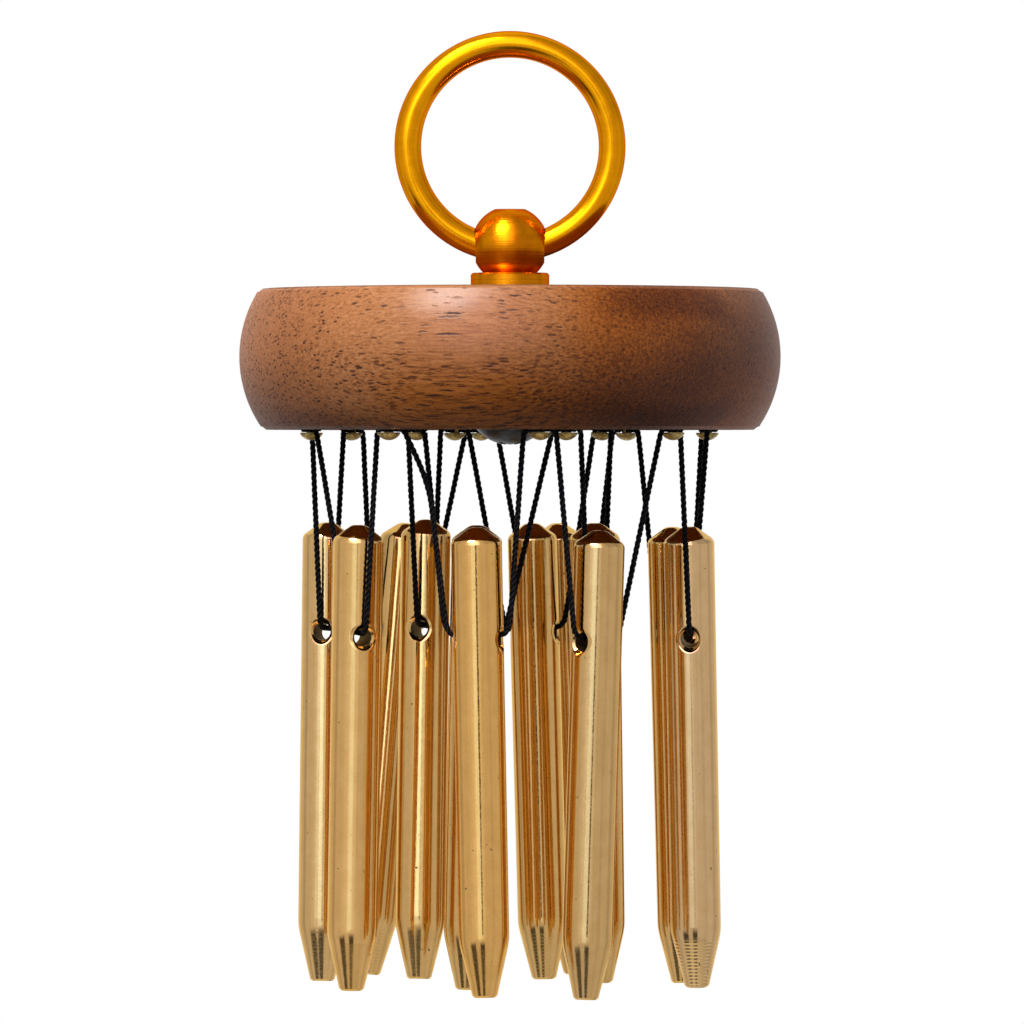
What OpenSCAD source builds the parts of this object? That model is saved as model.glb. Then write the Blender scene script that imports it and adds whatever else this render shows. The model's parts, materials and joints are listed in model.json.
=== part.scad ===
// Hand chime: a turned wooden disc that swings from a finger ring.
// Twelve brass bars hang under it, each in a V of cord between two brass nails.
// The origin is the centre of the finger ring, +Z is up and -Y is the front.
// Angles round the disc start at the front and grow towards +X.

/* [Finger ring] */
// Outer diameter of the finger ring
ring_od = 37; // [32:0.5:46]
// Diameter of the ring's wire
ring_wire = 4.3; // [3:0.1:5]
// Gap between the ring's two ends, inside the ball
ring_split = 0.4; // [0.2:0.1:1]

/* [Ball post] */
// Diameter of the ball
ball_d = 12.4; // [11.5:0.1:16]
// Height of the ball's top flat above its centre
ball_top = 5.7; // [4.5:0.1:5.7]
// Depth of the ball's seat below its centre
ball_seat = 4.5; // [4.2:0.1:5.5]
// Running clearance round the wire in the ball's cross hole
ring_clearance = 0.1; // [0.05:0.01:0.3]
// Diameter of the stem under the ball
stem_d = 6; // [5:0.5:8]
// Length of the stem inside the wood
stem_l = 14; // [10:0.5:16]
// Clearance round the stem
stem_clearance = 0.05; // [0.02:0.01:0.2]

/* [Collar] */
// Diameter of the collar
collar_d = 12.6; // [11:0.1:18]
// Thickness of the collar
collar_h = 2.6; // [1:0.1:5]
// Chamfer on the collar's rims
collar_edge = 0.3; // [0.1:0.1:0.5]

/* [Wood disc] */
// Largest diameter of the disc
disc_d = 86.6; // [80:0.2:120]
// Thickness of the disc
disc_h = 22.5; // [20:0.5:30]
// Radius of the disc's rounded side
disc_side_r = 20; // [19:0.5:40]
// Height of the widest line above the underside
disc_belly = 11.7; // [8:0.1:14]
// Chamfer on the disc's two rims
disc_edge = 0.5; // [0.2:0.1:1]
// Depth of the shallow hollow in the underside
disc_dish = 0.6; // [0.3:0.1:1]
// Width of the flat rim round the hollow
dish_rim = 2.4; // [1.5:0.1:3]

/* [Clamp screw] */
// Diameter of the screw's thread
screw_d = 4; // [3:0.5:4]
// Length of the thread inside the stem
screw_grip = 9; // [6:0.5:9]
// Clearance round the thread
screw_clearance = 0.05; // [0.02:0.01:0.2]
// Diameter of the domed head
screw_head_d = 11.5; // [8:0.1:14]
// Height of the domed head
screw_head_h = 3; // [1.8:0.1:3.5]
// Width of the head's cross slots
slot_w = 0.9; // [0.5:0.1:1.2]
// Length of the head's cross slots
slot_l = 4.6; // [3:0.1:5]
// Depth of the head's cross slots
slot_depth = 1.3; // [0.5:0.1:1.4]

/* [Nails] */
// How far the outer circle of nails lies inside the disc's widest line
outer_nail_inset = 11.3; // [9.5:0.1:12]
// Angle of the first outer nail
outer_nail_turn = 8.5; // [0:0.5:45]
// Radius of the inner circle of nails
inner_nail_r = 17.3; // [16.5:0.1:18.5]
// Angle of the first inner nail
inner_nail_turn = 31; // [0:0.5:90]
// Diameter of a nail's shank
nail_d = 1.6; // [1:0.1:2]
// Depth of a nail in the wood
nail_l = 12; // [8:0.5:16]
// Length of a nail's point
nail_point = 2; // [1:0.1:3]
// Clearance round a nail in the wood
nail_clearance = 0.02; // [0.01:0.01:0.05]
// Diameter of a nail's head
nail_head_d = 3.6; // [3:0.1:4.5]
// Height of a nail's head
nail_head_h = 1.25; // [0.8:0.05:1.6]
// Height of the rim round a nail's head
nail_rim = 0.25; // [0.1:0.05:0.4]

/* [Cord] */
// Diameter of the cord
cord_d = 0.96; // [0.7:0.02:1.2]
// Clearance between a cord and what it is wound on
cord_seat = 0.05; // [0.02:0.01:0.1]
// Gap between a strand and the nail's head or winding
strand_gap = 0.3; // [0.2:0.05:0.5]
// How far outside the outer nails the outer strands hang
outer_strand_out = 0.6; // [0.2:0.1:1.5]
// How far outside the inner nails the inner strands hang
inner_strand_out = 1.9; // [0.2:0.1:2]
// Angle that the cord is wound round a nail
wrap_turn = 295; // [180:5:295]
// Height from the cord in a bar up to the nails
cord_drop = 32.2; // [28:0.1:45]
// Bend radius of the cord at a bar's hole
cord_bend = 2; // [1.4:0.1:2.2]
// Gap between a strand and the side of its bar
cord_side_gap = 0.7; // [0.5:0.1:1]
// Gap between the cord and the top of a bar's hole
cord_hang_gap = 0.3; // [0.2:0.05:0.4]

/* [Bars] */
// Diameter of a bar
bar_d = 8; // [6:0.1:8.5]
// Length of a bar
bar_l = 73.6; // [60:0.1:100]
// Height of the cone on top
bar_cone = 2.1; // [1.2:0.1:3]
// Diameter of the flat on the cone
bar_flat_d = 2.1; // [1.5:0.1:4]
// Radius of the rounded edge round the flat
bar_flat_r = 1.8; // [0.6:0.1:2.4]
// Radius of the rounded edge under the cone
bar_edge_r = 1.3; // [0.4:0.1:1.5]
// Length of the tapered end
bar_taper = 8.8; // [6:0.1:12]
// Diameter of the tapered end's flat
bar_tip_d = 3.8; // [2.5:0.1:4.5]
// Radius of the rounded shoulder above the taper
bar_shoulder_r = 10; // [4:0.5:14]
// Chamfer round the tip's flat
bar_tip_edge = 0.25; // [0.1:0.05:0.4]
// Diameter of the cross hole
bar_hole_d = 2.8; // [2.4:0.1:3.2]
// Depth of the cross hole below the top
bar_hole_drop = 17.6; // [12:0.1:24]
// Diameter of the countersink at the hole's mouths
bar_hole_rim = 4.2; // [3.4:0.1:5]

/* [Hidden] */
outer_count = 8;
inner_count = 4;
// How each outer bar hangs, from the front left round to the right:
// its slide along the cord, its lean, its height over the common level, its turn
// and how far its left strand is pushed aside by the cord behind it.
// Slide, height and push are in bar diameters, lean and turn in degrees.
outer_slide = [0.3, -0.2875, -0.275, -0.1875, -0.15, 0.4125, 0.125, 0.4125];
outer_lean = [1.1, -2, 4.5, -2.8, -2.4, 5.6, 2.5, -1.8];
outer_lift = [-0.025, -0.0875, -0.025, -0.0625, 0, 0.0125, 0.0375, 0.0125];
outer_turn = [0, 14, 10, 0, 0, 0, 3, -14];
outer_push = [0.275, 0, 0, 0, 0, 0, 0, 0];
// The same for the inner bars
inner_slide = [-0.275, 0, -0.075, 0];
inner_lean = [-1.2, 3.3, -1.6, 3.5];
inner_lift = [0, 0.0375, 0.0125, 0.1];
inner_turn = [0, 0, 0, 0];
inner_push = [0, 0, 0, 0];

$fn = 96;
// Overshoot of a cutting shape past the face that it cuts
cut = 1;

// The wire's lowest and highest places inside the ball set the swing axis
ring_r = (ring_od - ring_wire) / 2;
ball_half = sqrt(pow(ball_d / 2, 2) - pow(ring_wire / 2, 2));
wire_low = ring_r + ring_wire / 2;
wire_high = sqrt(pow(ring_r - ring_wire / 2, 2) - pow(ball_half, 2));
hinge_z = -(wire_low + wire_high) / 2;
cross_r = (wire_low - wire_high) / 2 + ring_clearance;

// Levels from the ball down to the bars
collar_z = hinge_z - ball_seat;
disc_top_z = collar_z - collar_h;
disc_z = disc_top_z - disc_h;
under_z = disc_z + disc_dish;
stem_bore_r = stem_d / 2 + stem_clearance;
stem_end_z = disc_top_z - stem_l;
thread_bore_r = screw_d / 2 + screw_clearance;
screw_end_z = stem_end_z + screw_grip;
nail_stand = cord_d + 2 * cord_seat;
swing_z = under_z - cord_d / 2 - cord_seat;
bar_r = bar_d / 2;
bar_hole_r = bar_hole_d / 2;
bar_tip_r = bar_tip_d / 2;
cord_over = bar_hole_r - cord_d / 2 - cord_hang_gap;
bar_hole_z = swing_z - cord_drop - cord_over;
wrap_r = nail_d / 2 + cord_seat + cord_d / 2;
strand_off = max(nail_head_d / 2, wrap_r + cord_d / 2) + strand_gap + cord_d / 2;

// A circle of stations: [count, nail radius, first nail angle, strand offset]
outer_nail_r = disc_d / 2 - outer_nail_inset;
outer_circle = [outer_count, outer_nail_r, outer_nail_turn, outer_strand_out];
inner_circle = [inner_count, inner_nail_r, inner_nail_turn, inner_strand_out];
function half_step(circle) = 180 / circle[0];
function nail_angle(circle, i) = circle[2] + 2 * half_step(circle) * i;
function bar_angle(circle, i) = nail_angle(circle, i) - half_step(circle);
function bar_circle_r(circle) = circle[1] * cos(half_step(circle)) + circle[3];
function strand_half(circle) =
    circle[1] * sin(half_step(circle)) - sqrt(pow(strand_off, 2) - pow(circle[3], 2));

// How one bar hangs: [slide, lean, lift, turn, push]
function hang_sizes(slide, lean, lift, turn, push) =
    [bar_d * slide, lean, bar_d * lift, turn, bar_d * push];
function outer_hang(i) =
    hang_sizes(outer_slide[i], outer_lean[i], outer_lift[i], outer_turn[i], outer_push[i]);
function inner_hang(i) =
    hang_sizes(inner_slide[i], inner_lean[i], inner_lift[i], inner_turn[i], inner_push[i]);

// A point of a hanging bar in its station: along its cross hole and up its axis
function bar_point(circle, hang, along, up) =
    let (
        side = along * cos(hang[3]),
        back = along * sin(hang[3])
    )
    [
        hang[0] + side * cos(hang[1]) - up * sin(hang[1]),
        back - bar_circle_r(circle),
        bar_hole_z + hang[2] + side * sin(hang[1]) + up * cos(hang[1])
    ];

// Half of a cord's route, from the middle of the bar's hole up to the nail
bend_angles = [0, 27, 53, 80];
run_steps = 10;
strand_x = bar_r + cord_d / 2 + cord_side_gap;
bend_x = strand_x - cord_bend * sin(bend_angles[3]);
function bend_point(circle, hang, side, a) = bar_point(
    circle,
    hang,
    side * (bend_x + cord_bend * sin(a)),
    cord_over + cord_bend * (1 - cos(a))
);
function strand_top(circle, side) = [side * strand_half(circle), -bar_circle_r(circle), swing_z];
// A pushed strand bends at this share of its run: the full push there, none at its ends
push_at = 0.72;
function push_share(s) = s < push_at ? s / push_at : (1 - s) / (1 - push_at);
function half_route(circle, hang, side) =
    let (
        foot = bend_point(circle, hang, side, bend_angles[3]),
        top = strand_top(circle, side),
        push = side < 0 ? [hang[4], 0, 0] : [0, 0, 0]
    )
    concat(
        [for (a = bend_angles) bend_point(circle, hang, side, a)],
        [
            for (k = [1:run_steps])
                let (s = k / run_steps)
                foot + (top - foot) * s + push * push_share(s)
        ]
    );
function reversed(list) = [for (k = [len(list) - 1:-1:0]) list[k]];
function cord_route(circle, hang) = concat(
    reversed(half_route(circle, hang, -1)),
    [bar_point(circle, hang, 0, cord_over)],
    half_route(circle, hang, 1)
);

// The winding round a nail: an open turn in one level, its opening to the disc's middle
wrap_rings = 22;
wrap_path = [
    for (k = [0:wrap_rings - 1])
        let (a = 90 + (360 - wrap_turn) / 2 + wrap_turn * k / (wrap_rings - 1))
        [wrap_r * cos(a), wrap_r * sin(a), swing_z]
];
wrap_gap = norm(wrap_path[0] - wrap_path[wrap_rings - 1]) - cord_d;
echo(least_gap_of_a_winding_mm = wrap_gap);

// Closed tube along a path, with its rings turned about a reference direction
function unit(v) = v / norm(v);
function path_dir(path, k) = unit(path[min(k + 1, len(path) - 1)] - path[max(k - 1, 0)]);
function ring_points(path, k, d, sides, ref) =
    let (
        dir = path_dir(path, k),
        u = unit(cross(dir, ref)),
        v = cross(dir, u)
    )
    [for (s = [0:sides - 1]) path[k] + d / 2 * (u * cos(360 * s / sides) + v * sin(360 * s / sides))];
module tube(path, d, sides, ref) {
    count = len(path);
    points = [for (k = [0:count - 1]) each ring_points(path, k, d, sides, ref)];
    walls = [
        for (k = [0:count - 2], s = [0:sides - 1])
            let (a = k * sides + s, b = k * sides + (s + 1) % sides)
            each [[a, b, b + sides], [a, b + sides, a + sides]]
    ];
    last = (count - 1) * sides;
    ends = [for (s = [1:sides - 2]) each [[0, s + 1, s], [last, last + s, last + s + 1]]];
    polyhedron(points, concat(walls, ends), convexity = 8);
}

// Shallow dome that stands on z = 0
module dome(d, h) {
    r = (d * d / 4 + h * h) / (2 * h);
    intersection() {
        translate([0, 0, h - r])
            sphere(r);
        cylinder(d = d, h = h);
    }
}

// Cylinder with a chamfer at both ends
module chamfered(d, h, edge) {
    cylinder(d1 = d - 2 * edge, d2 = d, h = edge);
    translate([0, 0, edge])
        cylinder(d = d, h = h - 2 * edge);
    translate([0, 0, h - edge])
        cylinder(d1 = d, d2 = d - 2 * edge, h = edge);
}

module finger_ring() {
    open = 2 * asin(ring_split / 2 / ring_r);
    color("goldenrod")
        rotate([90, 0, 0])
            rotate([0, 0, open / 2 - 90])
                rotate_extrude(angle = 360 - open)
                    translate([ring_r, 0])
                        circle(d = ring_wire);
}

// Ball cut flat above and below, with the ring's cross hole and a tapped stem
module ball_post() {
    thread_top = screw_end_z + cut;
    color("goldenrod")
        difference() {
            union() {
                translate([0, 0, hinge_z])
                    intersection() {
                        sphere(d = ball_d);
                        translate([-ball_d, -ball_d, -ball_seat])
                            cube([2 * ball_d, 2 * ball_d, ball_seat + ball_top]);
                    }
                translate([0, 0, stem_end_z])
                    cylinder(d = stem_d, h = collar_z - stem_end_z);
            }
            translate([-ball_d, 0, hinge_z])
                rotate([0, 90, 0])
                    cylinder(r = cross_r, h = 2 * ball_d);
            translate([0, 0, stem_end_z - cut])
                cylinder(r = thread_bore_r, h = thread_top - stem_end_z + cut);
        }
}

module collar() {
    color("darkgoldenrod")
        difference() {
            translate([0, 0, disc_top_z])
                chamfered(collar_d, collar_h, collar_edge);
            translate([0, 0, disc_top_z - cut])
                cylinder(r = stem_bore_r, h = collar_h + 2 * cut);
        }
}

// Turned profile of the disc: flat faces, a rounded side and two small chamfers
module disc_profile() {
    disc_r = disc_d / 2;
    core_r = disc_r - disc_side_r;
    difference() {
        union() {
            square([core_r + disc_edge, disc_h]);
            intersection() {
                translate([core_r, 0])
                    square([disc_side_r, disc_h]);
                translate([core_r, disc_belly])
                    circle(r = disc_side_r);
            }
        }
        rim_chamfer(disc_h - disc_belly, disc_h, 1);
        rim_chamfer(disc_belly, 0, -1);
        underside_hollow();
    }
}

// Radius of the disc's corner at a height over or under the belly
function rim_r(rise) = disc_d / 2 - disc_side_r + sqrt(pow(disc_side_r, 2) - pow(rise, 2));

// Hollow of the underside, with a sloping wall inside the flat rim
module underside_hollow() {
    hollow_r = rim_r(disc_belly) - disc_edge - dish_rim;
    polygon([
        [-cut, -cut],
        [hollow_r, -cut],
        [hollow_r, 0],
        [hollow_r - disc_dish, disc_dish],
        [-cut, disc_dish]
    ]);
}

// What is taken off one corner of the profile
module rim_chamfer(rise, level, way) {
    corner = rim_r(rise);
    polygon([
        [corner - disc_edge, level],
        [corner - disc_edge, level + way * cut],
        [corner + 2 * disc_edge, level + way * cut],
        [corner + 2 * disc_edge, level - way * disc_edge],
        [corner + disc_edge / 4, level - way * disc_edge]
    ]);
}

module wood_disc() {
    color("sienna")
        difference() {
            translate([0, 0, disc_z])
                rotate_extrude()
                    disc_profile();
            translate([0, 0, stem_end_z - cut])
                cylinder(r = stem_bore_r, h = stem_l + 2 * cut);
            translate([0, 0, disc_z - cut])
                cylinder(r = thread_bore_r, h = disc_h);
            at_nails()
                translate([0, 0, under_z - cut])
                    cylinder(d = nail_d + 2 * nail_clearance, h = nail_l + cut + nail_clearance);
        }
}

// Domed screw from below, which draws the ball down on to the disc
module clamp_screw() {
    color("dimgray")
        difference() {
            union() {
                translate([0, 0, under_z])
                    mirror([0, 0, 1])
                        dome(screw_head_d, screw_head_h);
                translate([0, 0, under_z])
                    cylinder(d = screw_d, h = screw_end_z - under_z);
            }
            for (turn = [45, 135])
                translate([0, 0, under_z - screw_head_h])
                    rotate([0, 0, turn])
                        translate([-slot_l / 2, -slot_w / 2, -cut])
                            cube([slot_l, slot_w, slot_depth + cut]);
        }
}

// Puts its children at every nail, with -Y to the outside
module at_circle_nails(circle) {
    for (i = [0:circle[0] - 1])
        rotate([0, 0, nail_angle(circle, i)])
            translate([0, -circle[1], 0])
                children();
}
module at_nails() {
    at_circle_nails(outer_circle)
        children();
    at_circle_nails(inner_circle)
        children();
}

module nail() {
    head_z = under_z - nail_stand;
    translate([0, 0, head_z - nail_rim])
        mirror([0, 0, 1])
            dome(nail_head_d, nail_head_h - nail_rim);
    translate([0, 0, head_z - nail_rim])
        cylinder(d = nail_head_d, h = nail_rim);
    translate([0, 0, head_z])
        cylinder(d = nail_d, h = nail_stand + nail_l - nail_point);
    translate([0, 0, under_z + nail_l - nail_point])
        cylinder(d1 = nail_d, d2 = nail_d / 4, h = nail_point);
}
module nails() {
    color("darkkhaki")
        at_nails()
            nail();
}

module wraps(circle) {
    color([0.08, 0.08, 0.09])
        at_circle_nails(circle)
            tube(wrap_path, cord_d, 6, [0, 0, 1]);
}

module cord(circle, i, hang) {
    color([0.08, 0.08, 0.09])
        rotate([0, 0, bar_angle(circle, i)])
            tube(cord_route(circle, hang), cord_d, 8, [0, 1, 0]);
}

// What is cut from one end of a bar's outline: all outside a slope with a rounded shoulder
module slope_cut(level, way, end_r, length, shoulder_r) {
    lean = atan((bar_r - end_r) / length);
    reach = shoulder_r * tan(lean / 2);
    shoulder = level + way * (length + reach);
    difference() {
        polygon([
            [end_r, level - way * cut],
            [end_r, level],
            [bar_r - reach * sin(lean), level + way * (length - reach * cos(lean))],
            [bar_r - min(cut, shoulder_r / 2), shoulder],
            [bar_r + cut, shoulder],
            [bar_r + cut, level - way * cut]
        ]);
        translate([bar_r - shoulder_r, shoulder])
            circle(r = shoulder_r);
    }
}

// What is cut from the edge between the cone and its flat, to round it
module flat_edge_cut(level) {
    flat_r = bar_flat_d / 2;
    fall = atan(bar_cone / (bar_r - flat_r));
    reach = bar_flat_r * tan(fall / 2);
    difference() {
        polygon([
            [flat_r - reach, level + cut],
            [flat_r - reach, level - bar_flat_r / 2],
            [flat_r + reach * cos(fall), level - reach * sin(fall)],
            [flat_r + reach * cos(fall), level + cut]
        ]);
        translate([flat_r - reach, level - bar_flat_r])
            circle(r = bar_flat_r);
    }
}

// Half outline of a bar: a flat cone with rounded edges, a straight side, a taper
// and a small chamfer at the tip
module bar_outline(foot) {
    difference() {
        translate([0, foot])
            square([bar_r, bar_l]);
        slope_cut(foot + bar_l, -1, bar_flat_d / 2, bar_cone, bar_edge_r);
        flat_edge_cut(foot + bar_l);
        slope_cut(foot, 1, bar_tip_r, bar_taper, bar_shoulder_r);
        polygon([
            [bar_tip_r - bar_tip_edge, foot - cut],
            [bar_tip_r - bar_tip_edge, foot],
            [bar_tip_r + bar_tip_edge, foot + 2 * bar_tip_edge],
            [bar_r + cut, foot + 2 * bar_tip_edge],
            [bar_r + cut, foot - cut]
        ]);
    }
}

// One bar, upright, with the middle of its cross hole at the origin
module bar() {
    rim = (bar_hole_rim - bar_hole_d) / 2;
    difference() {
        rotate_extrude()
            bar_outline(bar_hole_drop - bar_l);
        rotate([0, 90, 0])
            cylinder(r = bar_hole_r, h = 2 * bar_d, center = true);
        for (side = [0, 1])
            mirror([side, 0, 0])
                translate([bar_r - rim, 0, 0])
                    rotate([0, 90, 0])
                        cylinder(r1 = bar_hole_r, r2 = bar_hole_r + rim + cut, h = rim + cut);
    }
}

// A bar in its place on a circle, as it hangs
module hung_bar(circle, i, hang) {
    color("gold")
        rotate([0, 0, bar_angle(circle, i)])
            translate(bar_point(circle, hang, 0, 0))
                rotate([0, -hang[1], 0])
                    rotate([0, 0, hang[3]])
                        bar();
}

finger_ring();
ball_post();
collar();
wood_disc();
clamp_screw();
nails();
wraps(outer_circle);  // outer_wraps
wraps(inner_circle);  // inner_wraps
for (i = [0:outer_count - 1]) {
    cord(outer_circle, i, outer_hang(i));
    hung_bar(outer_circle, i, outer_hang(i));
}
for (i = [0:inner_count - 1]) {
    cord(inner_circle, i, inner_hang(i));
    hung_bar(inner_circle, i, inner_hang(i));
}
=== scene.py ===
# %% [markdown]
# # A hand chime
# The imported parts come in first, as a fixed frame: a ring, a turned disc, nails, cords and bars.
# Everything after this cell is added round them, in metres, with +Z up and the front at -Y.

# %% Load the frame
import json
import math

import bmesh
import bpy
from mathutils import Matrix, Vector


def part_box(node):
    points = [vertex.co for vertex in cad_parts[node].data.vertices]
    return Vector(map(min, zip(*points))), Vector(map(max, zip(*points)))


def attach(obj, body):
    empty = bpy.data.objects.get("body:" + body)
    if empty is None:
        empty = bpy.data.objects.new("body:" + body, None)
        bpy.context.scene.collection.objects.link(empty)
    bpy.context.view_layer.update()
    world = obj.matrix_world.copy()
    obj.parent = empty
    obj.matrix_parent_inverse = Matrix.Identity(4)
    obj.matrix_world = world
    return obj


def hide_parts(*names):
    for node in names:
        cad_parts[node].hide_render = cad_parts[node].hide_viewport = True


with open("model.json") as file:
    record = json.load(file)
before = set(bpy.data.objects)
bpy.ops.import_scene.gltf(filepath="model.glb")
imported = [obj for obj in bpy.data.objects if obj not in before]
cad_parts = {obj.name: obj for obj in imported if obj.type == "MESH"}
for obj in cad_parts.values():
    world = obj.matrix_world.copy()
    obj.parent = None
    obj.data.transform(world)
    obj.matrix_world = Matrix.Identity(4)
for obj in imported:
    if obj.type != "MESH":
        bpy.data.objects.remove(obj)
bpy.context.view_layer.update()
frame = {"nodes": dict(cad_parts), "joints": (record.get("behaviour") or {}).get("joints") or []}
scene = bpy.context.scene
joints = {joint["name"]: joint for joint in frame["joints"]}
MM = 0.001

# %% [markdown]
# ## The camera
# A product picture like this one is taken level and from far away with a long lens, so that
# upright lines stay upright. The lens follows from the distance and from the width that the
# picture covers in the plane of the ring. A small shift puts the ring where the picture has it,
# and keeps the camera level, which a tilt would not.

# %% Camera at the picture's viewing angle
PICTURE = 1024
PIXEL = 0.16 * MM
RING_PIXEL = (510.0, 146.5)
HORIZON_PIXEL = 451.0
CAMERA_DISTANCE = 1.4
SENSOR_WIDTH = 36.0

camera_data = bpy.data.cameras.new("picture_camera")
camera_data.sensor_width = SENSOR_WIDTH
camera_data.lens = SENSOR_WIDTH * CAMERA_DISTANCE / (PICTURE * PIXEL)
camera_data.shift_x = (PICTURE / 2 - RING_PIXEL[0]) / PICTURE
camera_data.shift_y = (HORIZON_PIXEL - PICTURE / 2) / PICTURE
camera = bpy.data.objects.new("picture_camera", camera_data)
camera.location = (0, -CAMERA_DISTANCE, (RING_PIXEL[1] - HORIZON_PIXEL) * PIXEL)
camera.rotation_euler = (math.pi / 2, 0, 0)
scene.collection.objects.link(camera)
scene.camera = camera
print("camera: lens", round(camera_data.lens), "mm")

# %% [markdown]
# ## Smooth lines
# A cord never turns on a sharp corner. A route is worked out as a few straight steps, and two
# helpers make it smooth. One puts an arc in place of the corner at the top, where the cord turns
# from its run into the line of the nails. The arc is as wide as the nail's head leaves room for.
# The other cuts every corner a few times over, which turns straight steps into a smooth run.

# %% Helpers for a smooth line
TOP_BEND = 1.05 * MM


def length_of(points):
    return sum((b - a).length for a, b in zip(points, points[1:]))


def smoothed(points, times=3):
    """The line with its corners cut, a few times over."""
    for _ in range(times):
        cut = [points[0]]
        for a, b in zip(points, points[1:]):
            cut += [a.lerp(b, 0.25), a.lerp(b, 0.75)]
        points = cut + [points[-1]]
    return points


def rounded(corner, run, away):
    """An arc in place of the corner where the cord turns from one way to the other."""
    turn = run.angle(away)
    inward = (away - run * away.dot(run)).normalized()
    start = corner - run * TOP_BEND * math.tan(turn / 2)
    arc = []
    for angle in (0, turn / 3, turn * 2 / 3, turn):
        ahead, across = math.sin(angle), 1 - math.cos(angle)
        arc.append(start + (run * ahead + inward * across) * TOP_BEND)
    return arc


print("arc at a nail:", TOP_BEND)

# %% [markdown]
# ## Where each cord runs
# Every bar hangs in a V of cord: down from one nail, through the hole in the bar and up to the
# next nail. The two joints of a bar give its place. The swing joint lies on the line between the
# nails, and the tip joint lies on the cord in the hole. So the route needs only a few sizes more.
# At the top the cord turns into the swing line, and goes on as its nail's winding. One strand at
# the front is pushed aside by the cord behind it, so it bends on its way.

# %% Routes of the slings
COUNTS = {"outer": 8, "inner": 4}
CORD_D = 0.96 * MM
STRAND_HALF = {"outer": 9.726 * MM, "inner": 10.473 * MM}
STRAND_X = 5.18 * MM
CORD_BEND = 2.0 * MM
BEND_ANGLES = (0, 27, 53, 80)
TUCK = 1.5 * MM
PUSHED = {("outer", 1, -1): 2.2 * MM}
PUSH_AT = 0.72
STRAND_SHARES = (0.24, 0.48, PUSH_AT)


def sling(circle, number):
    """Middle and direction of the nails' line, then place, direction and top side of the hole."""
    swing = joints[f"{circle}_swing_{number}"]
    tip = joints[f"{circle}_tip_{number}"]
    middle, along = Vector(swing["pos_m"]), -Vector(swing["axis"])
    hole, hole_way = Vector(tip["pos_m"]), Vector(tip["axis"])
    outward = Vector((middle.x, middle.y, 0)).normalized()
    up = outward.cross(hole_way).normalized()
    return middle, along, hole, hole_way, up


def half_route(circle, number, side):
    """From the hole's end up to the nail on one side, -1 or 1."""
    middle, along, hole, hole_way, up = sling(circle, number)
    inner = STRAND_X - CORD_BEND * math.sin(math.radians(BEND_ANGLES[-1]))
    points = []
    for angle in map(math.radians, BEND_ANGLES):
        out = side * (inner + CORD_BEND * math.sin(angle))
        points.append(hole + hole_way * out + up * CORD_BEND * (1 - math.cos(angle)))
    top = middle + along * side * STRAND_HALF[circle]
    foot = points[-1]
    push = along * PUSHED.get((circle, number, side), 0)
    points += [foot.lerp(top, share) + push * share / PUSH_AT for share in STRAND_SHARES]
    points += rounded(top, (top - points[-1]).normalized(), along * side)
    points.append(top + along * side * TUCK)
    return points


def sling_route(circle, number):
    left = half_route(circle, number, -1)
    right = half_route(circle, number, 1)
    return smoothed(left[::-1] + [sling(circle, number)[2]] + right)


stations = [(circle, n + 1) for circle in COUNTS for n in range(COUNTS[circle])]
routes = {station: sling_route(*station) for station in stations}
print("slings:", {f"{c}_{n}": round(length_of(p), 4) for (c, n), p in routes.items()})

# %% [markdown]
# ## Twisted cord
# The cord is laid from three plies, and the plies show as slanted steps along its edges.
# A plain tube would look like wire. Here three thin curves wind round the route, each with a round
# section, and together they become one mesh. A frame that turns as little as possible is carried
# along the route, so that the twist stays even through the bends.

# %% Cord from three plies
PLIES = 3
PLY_D = 0.47 * CORD_D
PLY_OFF = (CORD_D - PLY_D) / 2
LAY = 2.9 * MM
STEPS_PER_LAY = 16


def evenly(points, step):
    """The route in equal steps, as near to the asked step as its length allows."""
    count = max(2, round(length_of(points) / step))
    gap = length_of(points) / count
    found, left = [points[0].copy()], gap
    for a, b in zip(points, points[1:]):
        span = (b - a).length
        while left <= span + 1e-12 and len(found) < count:
            found.append(a.lerp(b, left / span) if span else b.copy())
            left += gap
        left -= span
    return found + [points[-1].copy()]


def ply_lines(points):
    """The middle lines of the plies that wind round a route."""
    line = evenly(points, LAY / STEPS_PER_LAY)
    way = (line[1] - line[0]).normalized()
    side = way.orthogonal().normalized()
    plies = [[] for _ in range(PLIES)]
    for k, point in enumerate(line):
        ahead = (line[min(k + 1, len(line) - 1)] - line[max(k - 1, 0)]).normalized()
        side = (way.rotation_difference(ahead) @ side).normalized()
        way = ahead
        for ply in range(PLIES):
            turn = 2 * math.pi * (k / STEPS_PER_LAY + ply / PLIES)
            off = Matrix.Rotation(turn, 3, way) @ side * PLY_OFF
            plies[ply].append(point + off)
    return plies


def cord_mesh(name, lines):
    """One mesh of round tubes along the lines, with its place in its vertices."""
    curve = bpy.data.curves.new(name + "_plies", "CURVE")
    curve.dimensions = "3D"
    curve.bevel_depth = PLY_D / 2
    curve.bevel_resolution = 1
    curve.use_fill_caps = True
    for line in lines:
        spline = curve.splines.new("POLY")
        spline.points.add(len(line) - 1)
        for point, place in zip(spline.points, line):
            point.co = (*place, 1)
    holder = bpy.data.objects.new(name + "_plies", curve)
    scene.collection.objects.link(holder)
    ready = holder.evaluated_get(bpy.context.evaluated_depsgraph_get())
    mesh = bpy.data.meshes.new_from_object(ready)
    bpy.data.objects.remove(holder)
    bpy.data.curves.remove(curve)
    mesh.name = name
    mesh.materials.clear()
    mesh.shade_smooth()
    piece = bpy.data.objects.new(name, mesh)
    scene.collection.objects.link(piece)
    return piece


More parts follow.
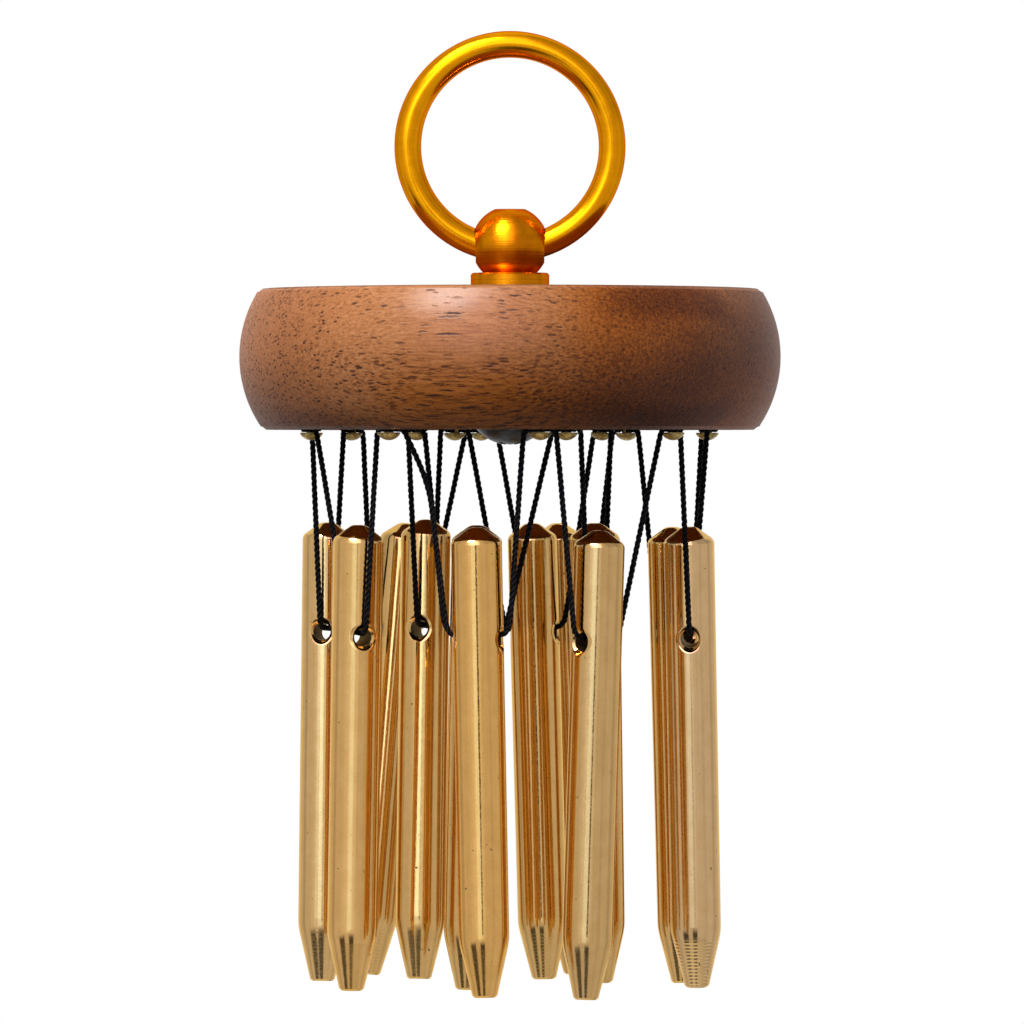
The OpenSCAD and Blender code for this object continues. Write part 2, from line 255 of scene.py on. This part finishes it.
slings = {}
for (circle, number), route in routes.items():
    piece = cord_mesh(f"{circle}_sling_{number}_cord", ply_lines(route))
    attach(piece, f"{circle}_sling_{number}")
    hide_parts(f"{circle}_cord_{number}")
    length_of(route)
    evenly(route, CORD_D / 2)
    slings[circle, number] = piece
print("twisted slings:", len(slings), "of", len(slings["outer", 1].data.polygons), "faces")

# %% [markdown]
# ## Windings on the nails
# Between two slings the same cord goes once round a nail, pinched between its head and the wood.
# Each winding is an open turn with its opening to the disc's middle, where nobody sees it.
# All windings of a circle are one piece, which stays with the disc.

# %% Windings
NAIL_CIRCLES = {"outer": (32.0 * MM, 8.5), "inner": (17.3 * MM, 31.0)}
WRAP_R = 1.33 * MM
WRAP_TURN = 295
WRAP_STEPS = 60
swing_level = joints["outer_swing_1"]["pos_m"][2]


def winding(centre, outward_angle):
    """An open turn round a nail, with its opening inward."""
    start = outward_angle + 180 + (360 - WRAP_TURN) / 2
    points = []
    for k in range(WRAP_STEPS + 1):
        a = math.radians(start + WRAP_TURN * k / WRAP_STEPS)
        points.append(centre + WRAP_R * Vector((math.cos(a), math.sin(a), 0)))
    return points


wraps = {}
for circle, (radius, first) in NAIL_CIRCLES.items():
    lines = []
    for k in range(COUNTS[circle]):
        out = first + 360 / COUNTS[circle] * k - 90
        way = Vector((math.cos(math.radians(out)), math.sin(math.radians(out)), 0))
        lines += ply_lines(winding(way * radius + Vector((0, 0, swing_level)), out))
    wraps[circle] = cord_mesh(f"{circle}_windings", lines)
    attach(wraps[circle], "disc")
    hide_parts(f"{circle}_wraps")
print("windings:", {c: len(w.data.polygons) for c, w in wraps.items()})

# %% [markdown]
# ## Writing finishes as sums
# A finish is a tree of nodes, which soon becomes long to write. One small class holds an output of
# the tree. It adds a Math node when it is used in a sum, so that a mask can be written as
# `1 - ring * 0.5`. Its method `node` adds any other node, with its settings first and then the
# values or links of its sockets. Its method `beside` gives another output of the same node.

# %% A class for shader maths
class Wire:
    """One output in a node tree. Sums with it add Math nodes to that tree."""

    def __init__(self, tree, socket=None):
        self.tree, self.socket = tree, socket

    def node(self, kind, settings=None, inputs=None, out=0):
        made = self.tree.nodes.new("ShaderNode" + kind)
        for name, value in (settings or {}).items():
            if name == "stops":
                ramp = made.color_ramp
                while len(ramp.elements) < len(value):
                    ramp.elements.new(0.5)
                for element, (place, colour) in zip(ramp.elements, value):
                    element.position, element.color = place, colour
            else:
                setattr(made, name, value)
        for name, value in (inputs or {}).items():
            if isinstance(value, Wire):
                self.tree.links.new(value.socket, made.inputs[name])
            else:
                made.inputs[name].default_value = value
        return Wire(self.tree, made.outputs[out] if made.outputs else None)

    def beside(self, out):
        return Wire(self.tree, self.socket.node.outputs[out])

    def maths(self, operation, *values):
        return self.node("Math", {"operation": operation}, dict(enumerate(values)))

    def __add__(self, other):
        return self.maths("ADD", self, other)

    def __sub__(self, other):
        return self.maths("SUBTRACT", self, other)

    def __rsub__(self, other):
        return self.maths("SUBTRACT", other, self)

    def __mul__(self, other):
        return self.maths("MULTIPLY", self, other)

    def __pow__(self, other):
        return self.maths("POWER", self, other)

    def __abs__(self):
        return self.maths("ABSOLUTE", self)

    __radd__ = __add__
    __rmul__ = __mul__

    def between(self, low, high, start=0.0, end=1.0):
        """A soft step: start below low, end above high."""
        return self.node(
            "MapRange", {"interpolation_type": "SMOOTHSTEP"},
            {"Value": self, "From Min": low, "From Max": high, "To Min": start, "To Max": end},
        )

    def mixed(self, first, second, blend="MIX"):
        """The colour first where this is 0, second where it is 1."""
        return self.node(
            "Mix", {"data_type": "RGBA", "blend_type": blend},
            {"Factor": self, 6: first, 7: second}, out=2,
        )


print("class for shader maths:", Wire.__name__)

# %% [markdown]
# ## Helpers for finishes
# Every finish is a new material, and its patterns read the piece's own Object coordinates, here in
# millimetres. A pattern in space needs no unwrapping, and it runs on through every edge, as the
# grain of a solid does. Noise is the base of most patterns: stretched it gives streaks, and cut by
# a soft step it gives spots. A bump lets a pattern catch the light without changing the shape.

# %% Helpers for finishes
def finish_tree(name):
    """A new material's tree, its main shader and a wire to start from."""
    material = bpy.data.materials.new(name)
    material.use_nodes = True
    return material, material.node_tree.nodes["Principled BSDF"], Wire(material.node_tree)


def connect(shader, **values):
    """Links wires to the shader's sockets, or sets them, with _ for a space in their names."""
    for name, value in values.items():
        socket = shader.inputs[name.replace("_", " ")]
        if isinstance(value, Wire):
            value.tree.links.new(value.socket, socket)
        else:
            socket.default_value = value


def places(start, location=(0, 0, 0), rotation=(0, 0, 0)):
    """Object coordinates in a pattern's own frame, in millimetres."""
    spot = start.node("TexCoord", out="Object")
    return start.node(
        "Mapping", {"vector_type": "TEXTURE"},
        {"Vector": spot, "Location": location, "Rotation": rotation, "Scale": (MM, MM, MM)},
    )


def split(vector):
    parts = vector.node("SeparateXYZ", None, {0: vector})
    return [parts.beside(axis) for axis in "XYZ"]


def noise(vector, scale, detail, rough=0.5):
    return vector.node(
        "TexNoise", {"noise_dimensions": "3D"},
        {"Vector": vector, "Scale": scale, "Detail": detail, "Roughness": rough},
    )


def stretched(vector, x, y, z):
    return vector.node("VectorMath", {"operation": "MULTIPLY"}, {0: vector, 1: (x, y, z)})


def bump(height, distance, strength):
    return height.node(
        "Bump", None, {"Height": height, "Distance": distance, "Strength": strength}
    )


def strip(value, middle, half, soft):
    """1 within half of the middle, then a soft edge down to 0."""
    return abs(value - middle).between(half, half + soft, 1, 0)


def dress(node, material):
    """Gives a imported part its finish."""
    piece = frame["nodes"][node]
    piece.data.materials.clear()
    piece.data.materials.append(material)


print("helpers for finishes ready")

# %% [markdown]
# ## Black cord
# The cord is a dyed synthetic yarn: near black, hardly bluish, and not shiny. Short fibres show as
# fine streaks, made by noise that lightens and roughens the surface a little.

# %% Finish of the cord
DYE = ((0.002, 0.002, 0.002, 1), (0.007, 0.0065, 0.007, 1))
COARSE_DEPTH = 0.06 * MM

material, shader, start = finish_tree("black_cord")
spot = places(start)
fibre = noise(stretched(spot, 9, 9, 3), 1.0, 3.0, 0.6)
connect(
    shader,
    Base_Color=fibre.between(0.35, 0.7).mixed(*DYE),
    Roughness=fibre.between(0.3, 0.7, 0.42, 0.65),
    Normal=bump(fibre, COARSE_DEPTH, 0.6),
    Specular_IOR_Level=0.08,
    Sheen_Weight=0.01,
    Sheen_Roughness=0.4,
    Sheen_Tint=(0.7, 0.7, 0.75, 1),
)
for piece in [*slings.values(), *wraps.values()]:
    piece.data.materials.append(material)
print("finish:", material.name)

# %% [markdown]
# ## Polished bars
# The bars are drawn brass rod, polished, with the lathe's marks left on some of the tapered feet.
# The long bands of light on them are mirror images of the room, so they come from a smooth metal
# and not from paint. What the metal itself has is small: faint lines from drawing, a waver that
# makes the bright bands tremble, a few pits, a rounded lip at the hole, and rings on the taper.
# The wall inside the hole is darkened, a painted shade. Each bar turns and centres the same
# pattern on its own axis, and the tone of the brass differs a little from bar to bar.

# %% Finish of the bars
BAR_FOOT = -56.62
TAPER = 8.8
LATHE_PITCH = 0.56
HOLE_R = 1.4
HOLE_BELOW = 0.62
LIP_HEIGHT = 14
FINE_DEPTH = 0.02 * MM
SEED_STEP = 17.3
BRASS = ((0.655, 0.395, 0.110), (0.745, 0.462, 0.142))
BRASS_EDGE = (0.92, 0.78, 0.55, 1)
PIT_BROWN = (0.10, 0.055, 0.02, 1)
BORE_PAINTED_SHADE = (0.05, 0.025, 0.010, 1)
PLAIN_TINT = (1, 1, 1)
TINTS = {
    ("outer", 1): (1.10, 1.01, 0.84),
    ("outer", 2): (0.95, 0.97, 1.06),
    ("outer", 3): (1.00, 1.06, 1.40),
    ("outer", 7): (1.03, 1.06, 1.18),
    ("outer", 8): (1.08, 1.04, 1.00),
}
FAINT_RINGS = 0.05
RINGS = {("outer", 3): 1.6, ("inner", 3): 0.35, ("outer", 6): 0.5, ("outer", 7): 0.15}


def bar_finish(name, origin, turn, seed, rings, tint):
    material, shader, start = finish_tree(name)
    spot = places(start, origin, turn)
    y, z = split(spot)[1:]
    shifted = spot.node("VectorMath", {"operation": "ADD"}, {0: spot, 1: (seed, 2 * seed, 0)})
    drawn = noise(stretched(shifted, 5.0, 5.0, 0.06), 1.0, 2.0)
    waver = noise(stretched(shifted, 0.5, 0.5, 0.35), 1.0, 3.0, 0.6)
    grain = noise(shifted, 3.0, 2.0, 0.7)
    pits = noise(shifted, 1.3, 1.0).between(0.76, 0.79)
    reach = start.maths("SQRT", y * y + (z + HOLE_BELOW) ** 2)
    bore = reach.between(HOLE_R + 0.01, HOLE_R + 0.06, 1, 0)
    lip = reach.between(HOLE_R + 0.3, HOLE_R + 0.9)
    foot = z.between(BAR_FOOT + TAPER - 1.6, BAR_FOOT + TAPER - 0.6, 1, 0)
    lathe = start.maths("SINE", z * (2 * math.pi / LATHE_PITCH))
    tone = (waver * 0.45 + drawn * 0.3 + grain * 0.25).between(0.34, 0.66)
    low, high = [(*(a * b for a, b in zip(brass, tint)), 1) for brass in BRASS]
    colour = tone.mixed(low, high)
    colour = (pits * 0.8).mixed(colour, PIT_BROWN)
    # Painted shade: the wall inside the hole is darkened to a deep brown.
    colour = (bore * 0.9).mixed(colour, BORE_PAINTED_SHADE)
    height = drawn * 0.25 + waver + grain * 0.06 - pits * 0.6 + lathe * foot * rings
    height = height + lip * LIP_HEIGHT
    connect(
        shader,
        Base_Color=colour,
        Roughness=grain.between(0.3, 0.7, 0.07, 0.15) + pits * 0.3 + foot * 0.05 + bore * 0.45,
        Normal=bump(height, FINE_DEPTH, 0.5),
        Metallic=1.0,
        Specular_Tint=BRASS_EDGE,
    )
    return material


for index, (circle, number) in enumerate(stations):
    hole, hole_way, up = sling(circle, number)[2:]
    back = up.cross(hole_way)
    turn = Matrix((hole_way, back, up)).transposed().to_euler()
    rings = RINGS.get((circle, number), FAINT_RINGS)
    tint = TINTS.get((circle, number), PLAIN_TINT)
    dress(
        f"{circle}_bar_{number}",
        bar_finish(f"bar_brass_{circle}_{number}", hole, turn, SEED_STEP * index, rings, tint),
    )
print("finish: bars", len(stations))

# %% [markdown]
# ## Ring, ball and collar
# The ring, the ball and the collar are a warmer, deeper gold than the bars, as coloured aluminium
# has. Their shine is softer, most of all on the two turned pieces, the ball and the collar, which
# also have fine level lines round them.

# %% Finish of the ring, the ball and the collar
GOLD_EDGE = (0.62, 0.24, 0.01, 1)
GOLDS = {
    "finger_ring": ((0.88, 0.345, 0.002, 1), (0.77, 0.280, 0.002, 1), 0.0, 0.14),
    "ball_post": ((0.74, 0.245, 0.002, 1), (0.58, 0.165, 0.002, 1), 6.0, 0.19),
    "collar": ((0.78, 0.278, 0.003, 1), (0.58, 0.182, 0.003, 1), 3.0, 0.20),
}


def gold_finish(name, colour, deep, lines, rough):
    material, shader, start = finish_tree(name)
    spot = places(start)
    level = start.node("CombineXYZ", None, {2: split(spot)[2]})
    turned = noise(level, 3.0, 3.0, 0.7)
    cloud = noise(spot, 0.45, 3.0, 0.6)
    grain = noise(spot, 7.0, 2.0, 0.7)
    connect(
        shader,
        Base_Color=(cloud * 0.6 + turned * 0.4).between(0.3, 0.7).mixed(deep, colour),
        Roughness=(grain * 0.5 + cloud * 0.5).between(0.3, 0.7, rough, rough + 0.08),
        Normal=bump(turned * lines + grain * 0.25, FINE_DEPTH, 0.5),
        Metallic=1.0,
        Specular_Tint=GOLD_EDGE,
    )
    return material


for node, look in GOLDS.items():
    dress(node, gold_finish(node + "_gold", *look))
print("finish: ring, ball, collar")

# %% [markdown]
# ## Oiled wood
# The disc is turned from a board whose grain runs from left to right, turned by a few degrees. So
# its front shows long grain, with pores as dark dashes, and its two sides show end grain, with
# pores as dots and the growth rings as arcs. One solid pattern gives all of that at once: noise
# and cells stretched along the grain, and distance from a far heart line for the rings. This first
# step makes the streaks and clouds, one dark ring, and a mask of how open the wood is.

# %% Grain of the disc
GRAIN_TURN = math.radians(-13)
HEART_Y, HEART_Z, HEART_SLANT = -41, -34.5, 0.35
RING_R, RING_HALF, RING_SOFT = 9.2, 0.8, 2.6

material, shader, start = finish_tree("oiled_wood")
x, y, z = split(places(start))
spot = places(start, rotation=(0, 0, GRAIN_TURN))
sway = noise(stretched(spot, 0.02, 0.05, 0.05), 1.0, 2.0)
streak = noise(stretched(spot, 0.10, 3.2, 3.2), 1.0, 4.0, 0.6)
fleck = noise(stretched(spot, 1.6, 6.0, 6.0), 1.0, 2.0, 0.6)
rays = noise(stretched(spot, 3.0, 3.0, 1.3), 1.0, 2.0, 0.6)
cloud = noise(stretched(spot, 0.02, 0.06, 0.06), 1.0, 2.0)
zone = noise(stretched(spot, 0.012, 0.16, 0.16), 1.0, 1.0)
mottle = noise(spot, 2.2, 3.0, 0.65)

heart = start.maths("SQRT", (y - HEART_Y - x * HEART_SLANT) ** 2 + (z - HEART_Z) ** 2)
band = strip(heart + (sway - 0.5) * 5, RING_R, RING_HALF, RING_SOFT)
band = band * x.between(8, 20) * x.between(31, 38, 1, 0)
level = z + (zone - 0.5) * 9 + (sway - 0.5) * 8
openness = level.between(-37, -32, 1.0, x.between(-8, 4, 0.25, 0.5))
openness = openness * x.between(8, 28, 1, 0.35) + x.between(-36, -14, 0.45, 0)
print("wood: grain turned by", round(math.degrees(GRAIN_TURN)), "degrees")

# %% [markdown]
# ## Pores of the wood
# The pores are thin tubes along the grain, which the lathe cut open. Cells stretched along the
# grain give their dashes. Each cell can hold one pore, and the cell's own random colour says
# whether it does and how dark that pore is. Cells of three sizes lie over each other, and noise
# bends them, so that no rows show. Fine dark lines run along the grain between the pores.

# %% Pores and fine lines of the disc
wander = start.node(
    "TexNoise", None, {"Vector": spot, "Scale": 0.9, "Detail": 2.0}, out="Color"
)
bent = start.node(
    "VectorMath", {"operation": "MULTIPLY_ADD"}, {0: wander, 1: (1.2, 0.5, 0.5), 2: spot}
)


def pore_cells(length, width, size):
    """Dark dashes: stretched cells, more of which hold a pore where the wood is open."""
    scaled = stretched(bent, 1 / length, 1 / width, 1 / width)
    near = start.node("TexVoronoi", {"feature": "F1"}, {"Vector": scaled, "Scale": 1.0})
    pick = start.node("SeparateColor", None, {0: near.beside("Color")})
    held = (openness - pick.beside("Red")).between(0, 0.06)
    depth = pick.beside("Green").between(0, 1, 0.45, 1)
    return near.between(size * 0.45, size, 1, 0) * held * depth


pores = start.maths("MAXIMUM", pore_cells(8.0, 0.76, 0.36), pore_cells(3.8, 0.66, 0.38) * 0.9)
pores = start.maths("MAXIMUM", pores, pore_cells(2.2, 0.46, 0.33) * 0.65)
pores = pores * x.between(2, 20, 1, 0.7)
lines = noise(stretched(bent, 0.05, 3.4, 3.4), 1.0, 3.0).between(0.54, 0.68)
lines = lines * level.between(-37, -31, 1, 0.12)
lines = lines * x.between(6, 26, 1, 0.2) * x.between(-32, -18)
print("wood: pores of three sizes")

# %% [markdown]
# ## Colour of the wood
# Oil deepens the brown and leaves a dull shine. The wood is rougher at its two ends. Painted shade
# makes it warmer and darker low down and on the right, which face away from the key lamp, and
# darker on its top face, whose image shows in the ball. All patterns first add up to one tone.
# A ramp turns the tone into a brown, and the pores come on top.

# %% Finish of the disc
DISC_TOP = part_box("wood_disc")[1].z / MM
WOOD_TONES = [
    (0.0, (0.050, 0.014, 0.004, 1)),
    (0.35, (0.190, 0.058, 0.015, 1)),
    (0.7, (0.415, 0.155, 0.052, 1)),
    (1.0, (0.580, 0.250, 0.105, 1)),
]
PAINTED_SHADE_WARMTH = (1.03, 0.78, 0.28, 1)
PAINTED_TOP_SHADE = (0.045, 0.014, 0.005, 1)
FLECK_BROWN = (0.14, 0.042, 0.010, 1)
PORE_BROWN = (0.028, 0.008, 0.005, 1)

tone = x.between(-12, 24, 0.77, 0.46) + (streak - 0.5) * 0.95 + (cloud - 0.5) * 0.4
tone = tone - x.between(-40, -22, 0.12, 0)
tone = tone - level.between(-46, -42, 0.2, 0) * x.between(-26, -14, 1, 0)
tone = tone + (rays - 0.5) * x.between(0, 20, 0.1, 0.7) + (mottle - 0.5) * 0.35
tone = tone - band * 0.24 - lines * 0.42
colour = tone.node("ValToRGB", {"stops": WOOD_TONES}, {0: tone})
# Painted shade: a warmer, darker brown low down and on the right, away from the key lamp.
low = z.between(-41, -31, 1, 0) * x.between(-28, -10)
right = x.between(4, 15) * x.between(26, 36, 1, 0)
painted_shade = start.maths("MAXIMUM", low, right)
colour = (painted_shade * 0.9).mixed(colour, PAINTED_SHADE_WARMTH, "MULTIPLY")
# Painted shade: the top face is darkened towards a deep brown.
top_face = z.between(DISC_TOP - 0.25, DISC_TOP - 0.05)
colour = (top_face * 0.55).mixed(colour, PAINTED_TOP_SHADE)
colour = (fleck.between(0.5, 0.75) * 0.4).mixed(colour, FLECK_BROWN)
colour = (pores * 0.95).mixed(colour, PORE_BROWN)
ends = abs(x).between(20, 38, 0, 0.2)
connect(
    shader,
    Base_Color=colour,
    Roughness=streak.between(0.3, 0.7, 0.25, 0.33) + pores * 0.2 + ends,
    Normal=bump(fleck * 0.25 + streak * 0.3 - pores, COARSE_DEPTH, 0.5),
    Specular_IOR_Level=0.19,
)
dress("wood_disc", material)
print("finish:", material.name, "up to", round(DISC_TOP, 2))

# %% [markdown]
# ## Nails and screw
# The nail heads are cast or stamped brass that was never polished: olive, dull and a little
# uneven. The screw in the middle is dark steel with a satin dome.

# %% Finish of the nails and the screw
OLIVES = ((0.16, 0.105, 0.030, 1), (0.46, 0.34, 0.115, 1))
STEELS = ((0.022, 0.022, 0.024, 1), (0.055, 0.055, 0.058, 1))

material, shader, start = finish_tree("dull_nail_brass")
spot = places(start)
cloud = noise(spot, 0.9, 3.0, 0.6)
grain = noise(spot, 4.0, 3.0, 0.7)
stain = (cloud * 0.6 + grain * 0.4).between(0.35, 0.65)
connect(
    shader,
    Base_Color=stain.mixed(*OLIVES),
    Roughness=stain.between(0, 1, 0.52, 0.34),
    Normal=bump(grain, COARSE_DEPTH, 0.6),
    Metallic=1.0,
)
dress("nails", material)

material, shader, start = finish_tree("dark_screw_steel")
spot = places(start)
x, y = split(spot)[:2]
reach = start.maths("SQRT", x * x + y * y)
turned = noise(start.node("CombineXYZ", None, {0: reach}), 5.0, 3.0, 0.6)
cloud = noise(spot, 0.7, 3.0, 0.6)
connect(
    shader,
    Base_Color=cloud.between(0.3, 0.7).mixed(*STEELS),
    Roughness=turned.between(0.3, 0.7, 0.30, 0.42),
    Normal=bump(turned, FINE_DEPTH, 0.4),
    Metallic=1.0,
)
dress("clamp_screw", material)
print("finish: nails, screw")

# %% [markdown]
# ## The studio
# The chime hangs in a white tent. The background is plain white, and the metal sees the same white
# behind it, which gives every bar its pale edges. In front the tent is of cool cloth. A tall soft
# lamp left of the camera draws the bright bands on the bars, and the camera's dark stand draws the
# thin lines beside them. The feet of both show as dark wedges on the tapers. Seams and a dim
# corner break up the cloth.
# A world whose light changes with direction can hold all of this. In a world, the generated
# coordinates are the direction that is looked along. From them come `side`, the angle to the right
# of the camera, and `rise`, the angle above level, both in degrees.

# %% World: a white tent with a tall soft lamp and a dark stand
DEGREES = 180 / math.pi

world = bpy.data.worlds.new("white_tent")
scene.world = world
world.use_nodes = True
world.node_tree.nodes.clear()
start = Wire(world.node_tree)
x, y, z = split(start.node("TexCoord", out="Generated"))
side = start.maths("ARCTAN2", x, y * -1) * DEGREES
rise = start.maths("ARCSINE", z) * DEGREES

glow = side.between(-66, -24) * side.between(2, 14, 1, 0)
lamp = glow * 0.35 + strip(side, -15, 6, 9) * 0.65
lamp = lamp + strip(side, -24, 10, 10) * rise.between(-0.5, 4) * 0.5
lamp = lamp + strip(side, 4, 6, 5) * rise.between(5, 10) * 0.5
lamp = lamp * rise.between(1, 13, 0.6, 2.2) * rise.between(52, 68, 1, 0) * rise.between(-15, -9)
stand = strip(rise, -0.9, 2.0, 0.8)
stand = stand + strip(rise, 4.4, 0.2, 0.3) * 0.6
stand = stand + strip(rise, -11, 0.7, 0.5) * 0.5
stand = stand * strip(side, -4, 2.6, 1.0)
feet = (strip(side, -52, 12, 5) + strip(side, -5, 9, 4)) * rise.between(-23, -13, 1, 0)
seams = strip(side, -100, 6, 5) * 0.25 + strip(side, 48, 4, 6) * 0.1
seams = seams + strip(side, 98, 6, 6) * 0.2
corner = side.between(22, 50) * rise.between(8, 22)
walls = rise.between(-48, -26, 0.17, 0.72) * (1 - feet * 0.88) * (1 - stand * 0.97)
walls = walls * (1 - seams) * (1 - corner * 0.25)
behind = abs(side).between(118, 150)
tent = walls * (1 - behind) + behind + lamp * (1 - stand)
print("world: a tent of", len(world.node_tree.nodes), "nodes")

# %% [markdown]
# ## What each surface sees of the studio
# The eye sees plain white behind the chime, and mirrors see the tent. Matt surfaces see a dim room
# with some light from the right, which leaves it to the key lamp to model the wood. The Light Path
# node tells these rays apart.

# %% World: light for the eye, for mirrors and for matt surfaces
WHITE = (1, 1, 1, 1)
CLOTH_TINT = (0.98, 0.97, 1.2, 1)
LAMP_TINTS = ((0.80, 0.98, 1.5, 1), (1.0, 0.82, 1.35, 1))

fill = side.between(30, 90) * side.between(150, 175, 1, 0) * rise.between(5, 40, 1, 0.2)
room = rise.between(-30, 60, 0.0, 0.11) + fill * 0.65
paths = start.node("LightPath")
seen, mirrored = paths.beside("Is Camera Ray"), paths.beside("Is Glossy Ray")
level = mirrored * tent + (1 - mirrored) * room
level = seen + (1 - seen) * level
cloth = (1 - seen) * mirrored * (1 - behind)
lamp_tint = rise.between(6, 16).mixed(*LAMP_TINTS)
tint = cloth.mixed(WHITE, lamp.between(0, 0.8).mixed(CLOTH_TINT, lamp_tint))
light = start.node("Background", None, {"Color": tint, "Strength": level})
start.node("OutputWorld", None, {"Surface": light})
print("world:", world.name)

# %% [markdown]
# ## Key lamp
# One large soft lamp high on the left gives the wood its sheen and its darker right side. It is an
# area light, because its size makes the edges of shadows soft. Two angles and a distance give its
# place, and it is turned towards the middle of the chime.

# %% Key lamp
KEY_AWAY = 1.2
KEY_SIDE, KEY_RISE = math.radians(-36), math.radians(52)
KEY_SIZE = (0.40, 0.52)
KEY_POWER = 20.0
KEY_AIM = Vector((0, 0, -0.05))

key_data = bpy.data.lights.new("key_lamp", "AREA")
key_data.shape = "RECTANGLE"
key_data.size, key_data.size_y = KEY_SIZE
key_data.energy = KEY_POWER
key = bpy.data.objects.new("key_lamp", key_data)
towards = Vector(
    (
        math.sin(KEY_SIDE) * math.cos(KEY_RISE),
        -math.cos(KEY_SIDE) * math.cos(KEY_RISE),
        math.sin(KEY_RISE),
    )
)
key.location = towards * KEY_AWAY + KEY_AIM
key.rotation_euler = towards.to_track_quat("Z", "Y").to_euler()
scene.collection.objects.link(key)
print("key lamp at", [round(part, 3) for part in key.location])

# %% [markdown]
# ## Floor
# The floor is far below, because the chime hangs, and it fades out to the white of the background.
# It is pale where it is seen, also in a mirror, and darker for the light that it throws back up.

# %% Floor
FLOOR_LEVEL = -0.42
FLOOR_R = 0.6
FLOOR_SIDES = 96
FLOOR_FADE = (0.3 * FLOOR_R / MM, 0.9 * FLOOR_R / MM)
FLOOR_GREYS = ((0.15, 0.15, 0.15, 1), (0.93, 0.93, 0.93, 1))

shape = bmesh.new()
bmesh.ops.create_circle(shape, cap_ends=True, segments=FLOOR_SIDES, radius=FLOOR_R)
bmesh.ops.translate(shape, vec=(0, 0, FLOOR_LEVEL), verts=shape.verts)
floor_mesh = bpy.data.meshes.new("pale_floor")
shape.to_mesh(floor_mesh)
shape.free()
floor = bpy.data.objects.new("pale_floor", floor_mesh)
scene.collection.objects.link(floor)

material, shader, start = finish_tree("pale_floor")
x, y = split(places(start))[:2]
reach = start.maths("SQRT", x * x + y * y)
paths = start.node("LightPath")
seen = paths.beside("Is Camera Ray") + paths.beside("Is Glossy Ray")
matt = start.node("BsdfDiffuse", None, {"Color": seen.mixed(*FLOOR_GREYS)})
clear = start.node("BsdfTransparent")
both = start.node("MixShader", None, {0: reach.between(*FLOOR_FADE), 1: matt, 2: clear})
output = material.node_tree.nodes["Material Output"]
material.node_tree.links.new(both.socket, output.inputs["Surface"])
material.node_tree.nodes.remove(shader)
floor_mesh.materials.append(material)
print("floor at", FLOOR_LEVEL)

# %% [markdown]
# ## Finish
# Colours are shown as they are written.

scene.view_settings.view_transform = "Standard"
